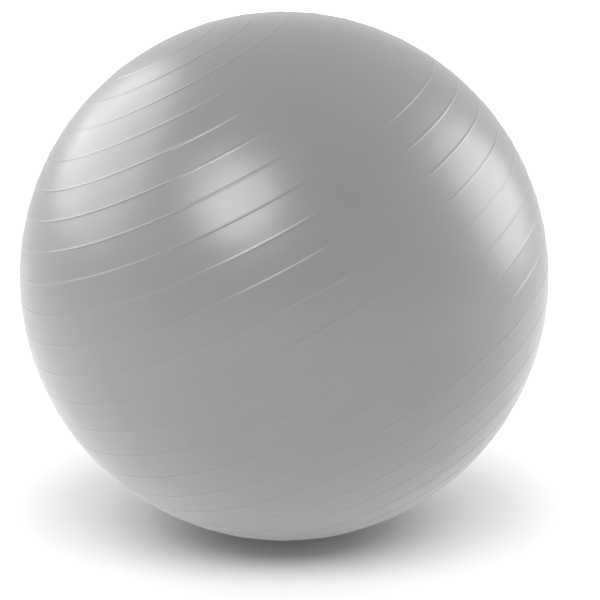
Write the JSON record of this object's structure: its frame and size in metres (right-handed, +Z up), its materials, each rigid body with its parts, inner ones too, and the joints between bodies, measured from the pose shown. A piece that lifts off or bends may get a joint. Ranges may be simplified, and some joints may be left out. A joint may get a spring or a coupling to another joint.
{
  "type": "exercise ball",
  "caption": "Inflated exercise ball of soft ribbed vinyl, resting on the small patch its weight flattens, with a push-in plug in its air valve.",
  "frame": {"origin": "centre of the flattened patch that the ball rests on", "axes": "+Z up from the floor; -Y towards the side where the smooth front panel faces, +X to the right seen from there"},
  "size_m": [0.5498, 0.5502, 0.5484],
  "materials": {
    "skin_vinyl": "satin",
    "seat_vinyl": "satin",
    "plug_plastic": "satin"
  },
  "bodies": {
    "ball": {"ball_shell": "skin_vinyl", "valve_seat": "seat_vinyl"},
    "plug": {"valve_plug": "plug_plastic"}
  },
  "joints": [
    {"name": "plug_pull", "type": "slide", "parent": "ball", "child": "plug", "axis": [-0.6233, 0.7417, 0.2477], "range_m": [0, 0.03]}
  ]
}
